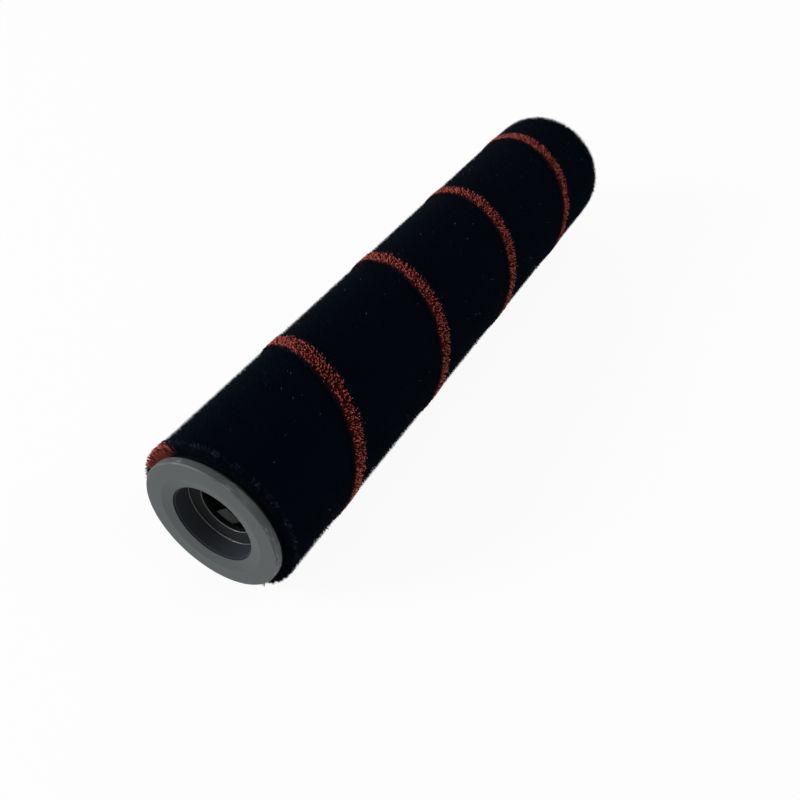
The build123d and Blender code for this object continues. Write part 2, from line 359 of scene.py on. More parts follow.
@dataclass(frozen=True)
class MouldedFinish:
    """Moulded plastic with slightly uneven colour and a spark-eroded grain, by its size and depth."""

    name: str
    light: Rgb
    dark: Rgb
    roughness: float
    grain_mm: Span
    gloss: float = 0.4
    scuffs_and_highlight: ScuffsAndEdgeHighlight | None = None
    cloud_mm: float = 9.0
    cloud_detail: float = 4.0
    grain_detail: float = 3.0
    grain_strength: float = 0.6
    roughness_spread: float = 0.06

    def material(self) -> Material:
        """The finish as nodes on Object coordinates.

        Returns:
            The new material.
        """
        sheet = NodeSheet.material(self.name)
        place = sheet.place()
        cloud = sheet.noise(place, self.cloud_mm * MM, self.cloud_detail)
        colour = sheet.mix(cloud, self.dark, self.light)
        # Scuffs on the rim, which also paint a highlight line on the edge chamfer.
        if self.scuffs_and_highlight:
            colour = self.scuffs_and_highlight.over(sheet, colour)
        sheet.drive("Base Color", colour)
        grain_size, grain_depth = self.grain_mm
        grain = sheet.noise(place, grain_size * MM, self.grain_detail)
        span = (self.roughness - self.roughness_spread, self.roughness + self.roughness_spread)
        sheet.drive("Roughness", sheet.ramp(grain, (0.0, 1.0), span))
        sheet.bump(grain, grain_depth * MM, self.grain_strength)
        sheet.fix("Specular IOR Level", self.gloss)
        return sheet.owner


@dataclass(frozen=True)
class TurnedSteelFinish:
    """Ground or turned steel, with fine rings about the roller's axis."""

    name: str
    colour: Rgb
    shade: Rgb
    roughness: float
    line_mm: float = 0.12
    line_detail: float = 2.0
    line_depth_mm: float = 0.01
    line_strength: float = 0.3
    smoother: float = 0.08
    rougher: float = 0.1

    def material(self) -> Material:
        """The finish as nodes whose rings follow the radius.

        Returns:
            The new material.
        """
        sheet = NodeSheet.material(self.name)
        radius, along = sheet.round_axis(sheet.place())
        ring = sheet.node("ShaderNodeCombineXYZ", {"X": radius, "Y": along})["Vector"]
        lines = sheet.noise(ring, self.line_mm * MM, self.line_detail)
        sheet.drive("Base Color", sheet.mix(lines, self.shade, self.colour))
        span = (self.roughness - self.smoother, self.roughness + self.rougher)
        sheet.drive("Roughness", sheet.ramp(lines, (0.0, 1.0), span))
        sheet.fix("Metallic", 1.0)
        sheet.bump(lines, self.line_depth_mm * MM, self.line_strength)
        return sheet.owner


@dataclass(frozen=True)
class WovenFinish:
    """Plain woven backing, seen only at its cut edge."""

    name: str
    light: Rgb
    dark: Rgb
    thread_scale: float = 400.0
    thread_wander: float = 1.5
    thread_depth_mm: float = 0.08
    roughness: float = 0.9
    gloss: float = 0.1

    def material(self) -> Material:
        """The finish as rows of threads on Object coordinates.

        Returns:
            The new material.
        """
        sheet = NodeSheet.material(self.name)
        fed = {"Vector": sheet.place(), "Scale": self.thread_scale, "Distortion": self.thread_wander}
        threads = sheet.node("ShaderNodeTexWave", fed)["Fac"]
        sheet.drive("Base Color", sheet.mix(threads, self.dark, self.light))
        sheet.bump(threads, self.thread_depth_mm * MM, 1.0)
        sheet.fix("Roughness", self.roughness)
        sheet.fix("Specular IOR Level", self.gloss)
        return sheet.owner


def new_object(name: str, mesh: bpy.types.Mesh, material: Material) -> Piece:
    """Puts a mesh in the scene under one material.

    Args:
        name: the piece's name.
        mesh: its mesh, placed in the row frame.
        material: its finish.

    Returns:
        The new object, at the origin.
    """
    made = bpy.data.objects.new(name, mesh)
    bpy.context.scene.collection.objects.link(made)
    mesh.materials.append(material)
    return made


def smooth_piece(bm: BMesh, name: str, material: Material) -> Piece:
    """Turns a mesh in work into a smooth piece of the roller.

    Args:
        bm: the mesh in work, which is freed.
        name: the piece's name.
        material: its finish.

    Returns:
        The piece, riding on the roller.
    """
    mesh = bpy.data.meshes.new(name)
    bm.to_mesh(mesh)
    bm.free()
    mesh.shade_smooth()
    made = new_object(name, mesh, material)
    made.modifiers.new("even_normals", "WEIGHTED_NORMAL")
    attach(made, "roller")
    return made


@dataclass
class TurnedProfile:
    """A closed outline of places along X and radii, which is spun round the roller's axis."""

    corners: list[Span]
    rounding: float
    rounding_steps: int = 3
    steps: int = 160

    def spin(self) -> BMesh:
        """Rounds the corners of the outline and spins it.

        Returns:
            The spun form as a closed mesh in work.
        """
        bm = bmesh.new()
        verts = [bm.verts.new((x * MM, 0, (SIZES.axis_z + r) * MM)) for x, r in self.corners]
        for start, end in zip(verts, verts[1:] + verts[:1]):
            bm.edges.new((start, end))
        bmesh.ops.bevel(
            bm,
            geom=verts,
            offset=self.rounding * MM,
            offset_type="OFFSET",
            segments=self.rounding_steps,
            profile=0.5,
            affect="VERTICES",
            clamp_overlap=True,
            material=-1,
        )
        bmesh.ops.spin(
            bm,
            geom=bm.verts[:] + bm.edges[:],
            cent=AXIS,
            axis=(1, 0, 0),
            dvec=(0, 0, 0),
            angle=math.tau,
            steps=self.steps,
            use_merge=True,
        )
        bmesh.ops.recalc_face_normals(bm, faces=bm.faces[:])
        return bm


@dataclass
class EndCap:
    """Grey flange ring with a dished face, a spigot in the tube and lugs in the tube's notches."""

    end: End
    flange_radius: float = 20.8
    flange_thickness: float = 2.6
    edge_break: float = 0.35
    rounding: float = 0.06
    dish_radius: float = 15.75
    dish_depth: float = 0.7
    mouth_radius: float = 12.45
    mouth_edge: float = 0.1
    lip_thickness: float = 0.4
    spigot_radius: float = 16.95
    spigot_inner: float = 14.55
    spigot_length: float = 12.0
    seat_radius: float = 9.5
    seat_end: float = 9.0
    hub_radius: float = 11.5
    hub_end: float = 11.0
    shoulder_radius: float = 7.8
    groove_radius: float = 10.1
    groove: Span = (1.95, 2.95)
    lug_count: int = 3
    lug_radius: float = 18.7
    lug_width: float = 4.8
    lug_length: float = 5.8

    def inside(self) -> list[Span]:
        """The inner side of the outline, from the spigot to the face.

        Returns:
            Its corners by depth and radius.
        """
        if self.end is End.DRIVE:
            lip_back = self.dish_depth + self.lip_thickness
            return [
                (lip_back, self.spigot_inner),
                (lip_back, self.mouth_radius),
                (self.dish_depth, self.mouth_radius),
            ]
        front, back = self.groove
        return [
            (self.flange_thickness, self.spigot_inner),
            (self.flange_thickness, self.hub_radius),
            (self.hub_end, self.hub_radius),
            (self.hub_end, self.shoulder_radius),
            (self.seat_end, self.shoulder_radius),
            (self.seat_end, self.seat_radius),
            (back, self.seat_radius),
            (back, self.groove_radius),
            (front, self.groove_radius),
            (front, self.seat_radius),
            (self.dish_depth + self.edge_break, self.seat_radius),
            (self.dish_depth, self.seat_radius + self.edge_break),
            (self.dish_depth, self.mouth_radius),
        ]

    def outline(self) -> list[Span]:
        """The whole outline of the cap.

        Returns:
            Its corners by depth and radius.
        """
        spigot_end = self.flange_thickness + self.spigot_length
        return [
            (0, self.dish_radius),
            (0, self.flange_radius - self.edge_break),
            (self.edge_break, self.flange_radius),
            (self.flange_thickness - self.edge_break, self.flange_radius),
            (self.flange_thickness, self.flange_radius - self.edge_break),
            (self.flange_thickness, self.spigot_radius),
            (spigot_end, self.spigot_radius),
            (spigot_end, self.spigot_inner),
            *self.inside(),
        ]

    def mark_mouth(self, bm: BMesh) -> None:
        """Gives the wall of the drive end's mouth the second finish.

        Args:
            bm: the cap in work.
        """
        start = (SIZES.drive_x + self.dish_depth + self.mouth_edge) * MM
        for part in bm.faces:
            middle = part.calc_center_median() - AXIS
            part.material_index = int(middle.yz.length < self.mouth_radius * MM and middle.x > start)

    def add_lugs(self, bm: BMesh) -> None:
        """Adds the lugs behind the flange.

        Args:
            bm: the cap in work.
        """
        low = (self.spigot_radius + self.spigot_inner) / 2
        sides = (self.lug_length * MM, (self.lug_radius - low) * MM, self.lug_width * MM, 1)
        middle = SIZES.face(self.end) - self.end.value * (self.flange_thickness + self.lug_length / 2)
        place = Matrix.Translation((middle * MM, 0, SIZES.axis_z * MM))
        out = Matrix.Translation((0, (self.lug_radius + low) / 2 * MM, 0))
        for index in range(self.lug_count):
            turn = Matrix.Rotation(math.tau * index / self.lug_count, 4, "X")
            bmesh.ops.create_cube(bm, size=1.0, matrix=place @ turn @ out @ Matrix.Diagonal(sides))

    def build(self, finish: MouldedFinish, mouth: MouldedFinish) -> Piece:
        """The cap, spun from its outline, with its lugs.

        Args:
            finish: the grey moulded finish.
            mouth: the finish of the wall of the drive end's mouth.

        Returns:
            The piece, riding on the roller.
        """
        face = SIZES.face(self.end)
        corners = [(face - self.end.value * depth, radius) for depth, radius in self.outline()]
        bm = TurnedProfile(corners, self.rounding).spin()
        if self.end is End.DRIVE:
            self.mark_mouth(bm)
        self.add_lugs(bm)
        name = self.end.name.lower()
        made = smooth_piece(bm, f"{name}_cap", finish.material())
        if self.end is End.DRIVE:
            made.data.materials.append(mouth.material())
        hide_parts(f"{name}_end_cap")
        return made


@dataclass
class DriveSocket:
    """Dark insert of the drive end: a plain bore, a ledge between two lands, a hole and a pocket."""

    start: float = 1.15
    bore_radius: float = 12.0
    bore_depth: float = 5.95
    land_width: float = 0.4
    ledge_depth: float = 7.15
    ledge_edge: float = 0.05
    hole_radius: float = 8.5
    web_back: float = 8.75
    pocket_radius: float = 13.0
    length: float = 26.0
    outer_radius: float = 14.5
    collar: Span = (14.65, 16.65)
    collar_radius: float = 16.5
    rounding: float = 0.1
    bead_radius: float = 0.14

    def build(self, finish: MouldedFinish, recess_shade: MouldedFinish) -> Piece:
        """The insert, spun from its outline.

        Args:
            finish: the dark moulded finish.
            recess_shade: the finish from the ledge inwards, darker than the insert as painted shade.

        Returns:
            The piece, riding on the roller.
        """
        collar_front, collar_back = self.collar
        outline = [
            (self.start, self.bore_radius),
            (self.start, self.outer_radius),
            (collar_front, self.outer_radius),
            (collar_front, self.collar_radius),
            (collar_back, self.collar_radius),
            (collar_back, self.outer_radius),
            (self.length, self.outer_radius),
            (self.length, self.pocket_radius),
            (self.web_back, self.pocket_radius),
            (self.web_back, self.hole_radius),
            (self.ledge_depth, self.hole_radius),
            (self.ledge_depth, self.hole_radius + self.land_width),
            (self.bore_depth, self.bore_radius - self.land_width),
            (self.bore_depth, self.bore_radius),
        ]
        corners = [(SIZES.drive_x + depth, radius) for depth, radius in outline]
        bm = TurnedProfile(corners, self.rounding).spin()
        # Faces from the ledge inwards take the darker finish: painted shade in the recess.
        deep = (SIZES.drive_x + self.bore_depth - self.ledge_edge) * MM
        for face in bm.faces:
            face.material_index = int(face.calc_center_median().x > deep)
        made = smooth_piece(bm, "socket", finish.material())
        made.data.materials.append(recess_shade.material())
        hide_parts("drive_socket")
        return made

    def beads(self, finish: MouldedFinish) -> Piece:
        """Fine raised lines along the two edges of the ledge, painted light as highlight lines.

        Args:
            finish: the light finish that paints the highlight lines.

        Returns:
            The piece, riding on the roller.
        """
        half = self.bead_radius
        around = [(-half, -half), (-half, half), (half, half), (half, -half)]
        outer_edge = (SIZES.drive_x + self.bore_depth, self.bore_radius - self.land_width)
        inner_edge = (SIZES.drive_x + self.ledge_depth, self.hole_radius)
        joined = bmesh.new()
        for x, radius in (outer_edge, inner_edge):
            bm = TurnedProfile([(x + dx, radius + dr) for dx, dr in around], half / 2).spin()
            line = bpy.data.meshes.new("bead")
            bm.to_mesh(line)
            bm.free()
            joined.from_mesh(line)
            bpy.data.meshes.remove(line)
        return smooth_piece(joined, "socket_beads", finish.material())


@dataclass
class PlushBed:
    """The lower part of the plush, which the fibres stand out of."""

    colour: Colour
    depth: float = 1.3
    end_gap: float = 0.5
    floor_gap: float = 0.3
    column_width: float = 3.0
    steps_per_turn: int = 160

    def winding(self, first: float, width: float) -> BMesh:
        """Spins the band's section into one long helix.

        Args:
            first: where the middle of the band starts, at the top of the roller.
            width: how wide the band is.

        Returns:
            The helix as a mesh in work, longer than the roller.
        """
        turns = math.ceil((SIZES.idle_x - first) / STRIPE.pitch) + 1
        columns = max(2, round(width / self.column_width))
        low, high = SIZES.pile_inner, SIZES.pile_radius - self.depth
        ring = [(first - width / 2 + width * i / columns, high) for i in range(columns + 1)]
        ring += [(first + width / 2, low), (first - width / 2, low)]
        bm = bmesh.new()
        bm.faces.new([bm.verts.new((x * MM, 0, (SIZES.axis_z + r) * MM)) for x, r in ring])
        bmesh.ops.spin(
            bm,
            geom=bm.verts[:] + bm.edges[:] + bm.faces[:],
            cent=AXIS,
            axis=(1, 0, 0),
            dvec=(STRIPE.pitch / self.steps_per_turn * MM, 0, 0),
            angle=-math.tau * turns,
            steps=turns * self.steps_per_turn,
            use_merge=False,
        )
        return bm

    def build(self, finish: BedFinish) -> Piece:
        """A band wound round the roller as one helix, cut square at both ends.

        Args:
            finish: the finish of its colour.

        Returns:
            The piece, riding on the roller.
        """
        if self.colour is Colour.RED:
            bm = self.winding(STRIPE.first, STRIPE.width)
        else:
            bm = self.winding(STRIPE.first - STRIPE.pitch / 2, STRIPE.pitch - STRIPE.width)
        for end in End:
            place = SIZES.pile_edge(end) - end.value * self.end_gap
            cut = bmesh.ops.bisect_plane(
                bm,
                geom=bm.verts[:] + bm.edges[:] + bm.faces[:],
                plane_co=(place * MM, 0, 0),
                plane_no=(end.value, 0, 0),
                clear_outer=True,
            )
            edges = [g for g in cut["geom_cut"] if isinstance(g, bmesh.types.BMEdge)]
            bmesh.ops.holes_fill(bm, edges=edges)
        for vert in bm.verts:
            vert.co.z = max(vert.co.z, self.floor_gap * MM)
        bmesh.ops.recalc_face_normals(bm, faces=bm.faces[:])
        colour = self.colour.value
        mesh = bpy.data.meshes.new(f"{colour}_bed")
        bm.to_mesh(mesh)
        bm.free()
        mesh.shade_smooth()
        made = new_object(f"{colour}_bed", mesh, finish.material())
        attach(made, "roller")
        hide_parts(f"{colour}_pile")
        return made


SPIKE = ((0, 1, 3), (1, 2, 3), (2, 0, 3))
STUB = ((0, 1, 4), (0, 4, 3), (1, 2, 5), (1, 5, 4), (2, 0, 3), (2, 3, 5), (3, 4, 5))


@dataclass
class Strands:
    """Fibres as arrays: where each starts and ends, how thick it is and how light its tip is."""

    root: Array
    tip: Array
    width: Array
    tone: Array
    blunt: float = 0.0
    twist: float = 2.4

    def pick(self, chosen: Array) -> "Strands":
        """The fibres that a mask or an index chooses."""
        return Strands(self.root[chosen], self.tip[chosen], self.width[chosen], self.tone[chosen], self.blunt)

    def by_colour(self, red: Array) -> dict[Colour, "Strands"]:
        """The fibres of each colour, where the mask says which are red."""
        return {Colour.BLACK: self.pick(~red), Colour.RED: self.pick(red)}

    def corners(self) -> Array:
        """The points of each fibre: three round its root, then its tip or three round its tip.

        Returns:
            The points in millimetres, by fibre and corner.
        """
        along = self.tip - self.root
        along /= np.linalg.norm(along, axis=1, keepdims=True)
        side = np.cross(along, (1.0, 0.0, 0.0))
        side /= np.linalg.norm(side, axis=1, keepdims=True)
        other = np.cross(along, side)
        points = np.repeat(self.tip[:, None], 6 if self.blunt else 4, axis=1)
        for corner in range(3):
            turn = (math.tau * corner / 3 + self.twist * np.arange(len(self.root)))[:, None]
            offset = (side * np.cos(turn) + other * np.sin(turn)) * self.width[:, None] / 2
            points[:, corner] = self.root + offset
            if self.blunt:
                points[:, corner + 3] += offset * self.blunt
        return points

    def mesh(self, name: str) -> bpy.types.Mesh:
        """One three-sided spike for each fibre, or a stub with a cut tip where they are blunt.

        Args:
            name: the mesh's name.

        Returns:
            The mesh, with an attribute that holds each point's tone and height.
        """
        points = self.corners()
        count, corners = points.shape[:2]
        faces = STUB if self.blunt else SPIKE
        loops = np.arange(count)[:, None] * corners + np.ravel(faces)
        mesh = bpy.data.meshes.new(name)
        mesh.vertices.add(count * corners)
        mesh.vertices.foreach_set("co", (points * MM).astype(np.float32).ravel())
        mesh.loops.add(loops.size)
        mesh.loops.foreach_set("vertex_index", loops.astype(np.int32).ravel())
        mesh.polygons.add(count * len(faces))
        mesh.polygons.foreach_set("loop_start", np.arange(count * len(faces), dtype=np.int32) * 3)
        mesh.update(calc_edges=True)
        strand = np.ones((count, corners, 4), np.float32)
        strand[:, :, 0] = self.tone[:, None]
        # Height 0 at the three root corners, where the finish paints the root shade.
        strand[:, :3, 1] = 0.0
        attribute = mesh.color_attributes.new("strand", "FLOAT_COLOR", "POINT")
        attribute.data.foreach_set("color", strand.ravel())
        mesh.shade_smooth()
        return mesh


ROOT_DEPTH = 2.4
ROOT_GAP = 0.1


@dataclass(frozen=True)
class Pile:
    """How the fibres of one colour stand: how close, upright, even and thick they are."""

    spacing: float
    sway: float
    uneven: float
    thickness: Span
    rise: float = 0.0
    blunt: float = 0.0


@dataclass
class Sleeve:
    """The fibres all over the plush sleeve."""

    piles: dict[Colour, Pile]
    lean: float = 0.03
    lean_along: Waves = ((0.19, 2, 0), (0.47, -5, 1), (1.1, 11, 0))
    lean_round: Waves = ((0.23, -3, 2), (0.61, 7, 0), (1.3, -9, 0))
    end_lean: float = 0.25
    end_stretch: float = 2.5
    stand_out: float = 0.05
    corner_share: float = 0.5
    black_tone: float = 0.04
    bright_share: float = 0.55
    bright_tones: Span = (0.45, 1.0)
    dull_tones: Span = (0.0, 0.12)
    hem_width: float = 1.1
    hem_thicker: float = 1.25
    hem_blunt: float = 0.7
    pale_share: float = 0.0028
    pale_longer: float = 0.04
    pale_thickness: Span = (0.18, 0.32)
    pale_blunt: float = 0.8
    seed: int = 7
    pale_seed: int = 27

    def all_round(self, colour: Colour) -> Strands:
        """Fibres of one colour over the whole sleeve, one to each cell of a shaken grid.

        Args:
            colour: which colour of the plush.

        Returns:
            The fibres of that colour, which lean in soft patches.
        """
        s, pile = SIZES, self.piles[colour]
        rng = np.random.default_rng(self.seed + list(Colour).index(colour))
        rows = round(s.pile_length / pile.spacing)
        around = round(math.tau * s.pile_radius / pile.spacing)
        i, j = np.meshgrid(np.arange(rows), np.arange(around), indexing="ij")
        x = s.pile_start + (i.ravel() + rng.random(i.size)) / rows * s.pile_length
        turn = (j.ravel() + rng.random(j.size)) / around * math.tau
        wanted = STRIPE.covers(x, turn, STRIPE.width) == (colour is Colour.RED)
        x, turn = x[wanted], turn[wanted]
        count = len(x)
        lean_x = waves(x, turn, self.lean_along) * self.lean + rng.normal(0, pile.sway, count)
        lean_turn = waves(x, turn, self.lean_round) * self.lean + rng.normal(0, pile.sway, count)
        inside = np.minimum(x - s.pile_start, s.pile_end - x)
        lean_x += np.where(x < 0, -1, 1) * np.clip(1 - inside / self.end_stretch, 0, 1) * self.end_lean
        corner = np.clip(s.pile_corner - inside, 0, s.pile_corner)
        drop = s.pile_corner - np.sqrt(s.pile_corner**2 - corner**2)
        top = s.pile_radius + self.stand_out - drop * self.corner_share
        top = top - np.abs(rng.normal(0, pile.uneven, count)) + pile.rise
        bottom = np.full(count, s.pile_radius - ROOT_DEPTH)
        rise = top - bottom
        root = s.point(x, turn, bottom)
        tip = s.point(x + lean_x * rise, turn + lean_turn * rise / s.pile_radius, top)
        if colour is Colour.BLACK:
            width = rng.uniform(*pile.thickness, count)
            return Strands(root, tip, width, self.black_tone * rng.random(count), pile.blunt)
        bright = rng.random(count) < self.bright_share
        tone = np.where(bright, rng.uniform(*self.bright_tones, count), rng.uniform(*self.dull_tones, count))
        return Strands(root, tip, rng.uniform(*pile.thickness, count), tone, pile.blunt)

    def hem(self, black: Strands) -> Strands:
        """The black fibres next to the red stripe, cut blunt so that they cover its side.

        Args:
            black: the black fibres all round.

        Returns:
            Those fibres, thicker at the tip.
        """
        x, y, z = black.root.T
        off = np.abs(STRIPE.offset(x, np.arctan2(z - SIZES.axis_z, y))) - STRIPE.width / 2
        near = black.pick(off < self.hem_width)
        return Strands(near.root, near.tip, near.width * self.hem_thicker, near.tone, self.hem_blunt)

    def pale_tips(self, black: Strands) -> Strands:
        """The few black fibres whose cut tips catch the light.

        Args:
            black: the black fibres all round.

        Returns:
            Those fibres, blunt and a little longer.
        """
        rng = np.random.default_rng(self.pale_seed)
        found = black.pick(rng.random(len(black.root)) < self.pale_share)
        count = len(found.root)
        tip = found.tip + (found.tip - found.root) * self.pale_longer
        width = rng.uniform(*self.pale_thickness, count)
        return Strands(found.root, tip, width, rng.random(count) ** 2, self.pale_blunt)


@dataclass
class FrayedEdge:
    """Loose tufts in rows at one end of the sleeve, which stand out past it."""

    end: End
    reach: float
    tuft_count: int = 330
    tuft_fibres: int = 14
    rows: tuple[float, ...] = (0.1, 0.9, 1.6)
    row_fade: float = 2.0
    stripe_width: float = 6.0
    place_shake: float = 0.35
    out_shape: float = 2.0
    out_size: float = 0.22
    swing: float = 0.03
    sink: float = 0.5
    lift: float = 0.6
    uneven: float = 0.3
    patch_level: float = 0.5
    patch_waves: Waves = ((0.3, 9, 0), (0.4, 23, 1))
    patch_span: Span = (0.1, 1)
    light_power: float = 1.5
    front_row_tone: float = 0.15
    fibre_turn: float = 0.011
    fibre_depth: float = 0.4
    fibre_uneven: float = 0.25
    fibre_out: float = 0.1
    tip_turn: float = 0.008
    red_tones: Span = (0.25, 0.75)
    black_tone: float = 0.7
    tone_span: Span = (0.6, 1.0)
    thickness: Span = (0.12, 0.22)
    seed: int = 17

    def spread(self, values: Array) -> Array:
        """Gives each fibre of a tuft the tuft's own value."""
        return np.repeat(values, self.tuft_fibres)

    def fibres(self) -> dict[Colour, Strands]:
        """All the tufts of this end, fibre by fibre.

        Returns:
            The fibres by colour.
        """
        s, out_sign, spread = SIZES, self.end.value, self.spread
        rng = np.random.default_rng(self.seed + out_sign)
        tufts = self.tuft_count * len(self.rows)
        row = np.repeat(self.rows, self.tuft_count)
        middle = (np.arange(tufts) + rng.normal(0, self.place_shake, tufts)) / self.tuft_count * math.tau
        out = rng.gamma(self.out_shape, self.out_size, tufts) * (1 - row / self.row_fade) * self.reach
        swing = rng.normal(0, self.swing, tufts)
        level = s.pile_radius - self.sink + self.lift * self.reach
        height = level - np.abs(rng.normal(0, self.uneven, tufts))
        patch = self.patch_level
        for size, rate, phase in self.patch_waves:
            patch = patch + size * np.sin(rate * middle + phase)
        light = rng.random(tufts) ** self.light_power
        front = np.where(row > self.rows[0], 1.0, self.front_row_tone)
        pale = light * np.clip(patch, *self.patch_span) * front
        count = tufts * self.tuft_fibres
        turn = spread(middle) + rng.normal(0, self.fibre_turn, count)
        x = s.pile_edge(self.end) - out_sign * (spread(row) + rng.random(count) * self.fibre_depth)
        top = spread(height) - np.abs(rng.normal(0, self.fibre_uneven, count))
        tip_x = x + out_sign * (spread(out) + rng.normal(0, self.fibre_out, count))
        tip_turn = spread(middle + swing) + rng.normal(0, self.tip_turn, count)
        low = rng.uniform(s.pile_inner + ROOT_GAP, s.pile_radius - ROOT_DEPTH, count)
        red = STRIPE.covers(x, turn, self.stripe_width)
        red_low, red_more = self.red_tones
        tone = np.where(red, red_low + red_more * spread(light), self.black_tone * spread(pale))
        tone = tone * rng.uniform(*self.tone_span, count)
        width = rng.uniform(*self.thickness, count)
        tip = s.point(tip_x, tip_turn, top)
        return Strands(s.point(x, turn, low), tip, width, tone).by_colour(red)


@dataclass
class Collar:
    """Short dark fibres that fill the slot between the plush and the flange at one end."""

    end: End
    count: int = 5000
    depth: Span = (0.2, 0.6)
    reach: Span = (0.2, 0.95)
    below_top: float = 1.2
    sway: float = 0.02
    most_lift: float = 0.9
    thickness: Span = (0.2, 0.34)
    seed: int = 37

    def fibres(self) -> dict[Colour, Strands]:
        """The fibres of this end, all lifted by the same small amount towards the tip.

        Returns:
            The fibres by colour.
        """
        s, out_sign, count = SIZES, self.end.value, self.count
        rng = np.random.default_rng(self.seed + out_sign)
        edge = s.pile_edge(self.end)
        turn = rng.random(count) * math.tau
        x = edge - out_sign * rng.uniform(*self.depth, count)
        low = rng.uniform(s.pile_inner + ROOT_GAP, s.pile_radius - self.below_top, count)
        tip_x = edge + out_sign * rng.uniform(*self.reach, count)
        tip_turn = turn + rng.normal(0, self.sway, count)
        tip = s.point(tip_x, tip_turn, low + rng.uniform(0, self.most_lift))
        width = rng.uniform(*self.thickness, count)
        strands = Strands(s.point(x, turn, low), tip, width, np.zeros(count))
        return strands.by_colour(STRIPE.covers(x, turn, STRIPE.width))


@dataclass
class PlushField:
    """All the fibres of the roller, in pieces by colour and by stretch."""

    sleeve: Sleeve
    fray_reach: dict[End, float]
    stretches: int = 3
    floor_gap: float = 0.02

    def on_sleeve(self) -> list[tuple[str, Colour, Strands]]:
        """The fibres all round, the black ones in stretches along the roller.

        Returns:
            Name, colour and fibres of each piece.
        """
        black = self.sleeve.all_round(Colour.BLACK)
        found = [
            ("red_fibres", Colour.RED, self.sleeve.all_round(Colour.RED)),
            ("pale_fibres", Colour.BLACK, self.sleeve.pale_tips(black)),
            ("hem_fibres", Colour.BLACK, self.sleeve.hem(black)),
        ]
        order = np.argsort(black.root[:, 0], kind="stable")
        for index, chosen in enumerate(np.array_split(order, self.stretches)):
            found.append((f"black_fibres_{index + 1}", Colour.BLACK, black.pick(chosen)))
        return found

    def at_ends(self) -> list[tuple[str, Colour, Strands]]:
        """The frayed tufts and the collar of each end.

        Returns:
            Name, colour and fibres of each piece.
        """
        found = []
        for end in End:
            frayed = FrayedEdge(end, self.fray_reach[end]).fibres()
            for kind, fibres in (("fray", frayed), ("collar", Collar(end).fibres())):
                for colour, strands in fibres.items():
                    found.append((f"{end.name.lower()}_{colour.value}_{kind}", colour, strands))
        return found

    def build(self, smooth: dict[Colour, PlushFinish], frayed: dict[Colour, PlushFinish]) -> None:
        """Makes a piece of each group of fibres, riding on the roller.

        Args:
            smooth: the finish of each colour all round.
            frayed: the finish of each colour at the ends.
        """
        for groups, finishes in ((self.on_sleeve(), smooth), (self.at_ends(), frayed)):
            materials = {colour: finish.material() for colour, finish in finishes.items()}
            for name, colour, strands in groups:
                strands.tip[:, 2] = np.maximum(strands.tip[:, 2], self.floor_gap)
                piece = new_object(name, strands.mesh(name), materials[colour])
                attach(piece, "roller")
                log.info("%s: %d fibres", name, len(strands.root))


@dataclass
class SolidPieces:
    """The pieces that keep the form of their solids and get a finish."""

    # ribs: the grey plastic painted lighter, as if lit inside the hole.
    ribs: MouldedFinish
    recess_shade: MouldedFinish
    tube: MouldedFinish
    steel: TurnedSteelFinish
    spring: TurnedSteelFinish
    backing: WovenFinish
    rib_radius: float = 11.6

    def dress(self) -> None:
        """Gives every solid that shows its finish, and the outer wall of the ring round the ribs a darker one
        as painted shade.
        """
        chosen = {
            self.ribs: ["rib_ring"],
            self.tube: ["core_tube"],
            self.steel: [
                "bearing_outer_race",
                "bearing_inner_race",
                "bearing_balls",
                "bearing_cage",
                "bearing_shields",
                "stub_axle",
                "axle_washer",
            ],
            self.spring: ["bearing_circlip", "axle_clip"],
            self.backing: ["pile_backing"],
        }
        for finish, names in chosen.items():
            made = finish.material()
            for name in names:
                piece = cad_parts[name]
                piece.data.materials.clear()
                piece.data.materials.append(made)
                log.info("%s: %s", name, finish.name)
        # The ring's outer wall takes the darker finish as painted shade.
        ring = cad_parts["rib_ring"].data
        ring.materials.append(self.recess_shade.material())
        for part in ring.polygons:
            part.material_index = int((part.center - AXIS).yz.length > self.rib_radius * MM)


@dataclass(frozen=True)
class Lamp:
    """A square soft lamp that faces the roller, in metres and watts."""

    name: str
    at: Place
    power: float
    size: float = 0.6

    def hang(self) -> None:
        """Puts the lamp in the scene."""
        data = bpy.data.lights.new(self.name, "AREA")
        data.size = self.size
        data.energy = self.power
        made = bpy.data.objects.new(self.name, data)
        facing = (-Vector(self.at)).to_track_quat("-Z", "Y")
        made.matrix_world = Matrix.Translation(self.at) @ facing.to_matrix().to_4x4()
        bpy.context.scene.collection.objects.link(made)


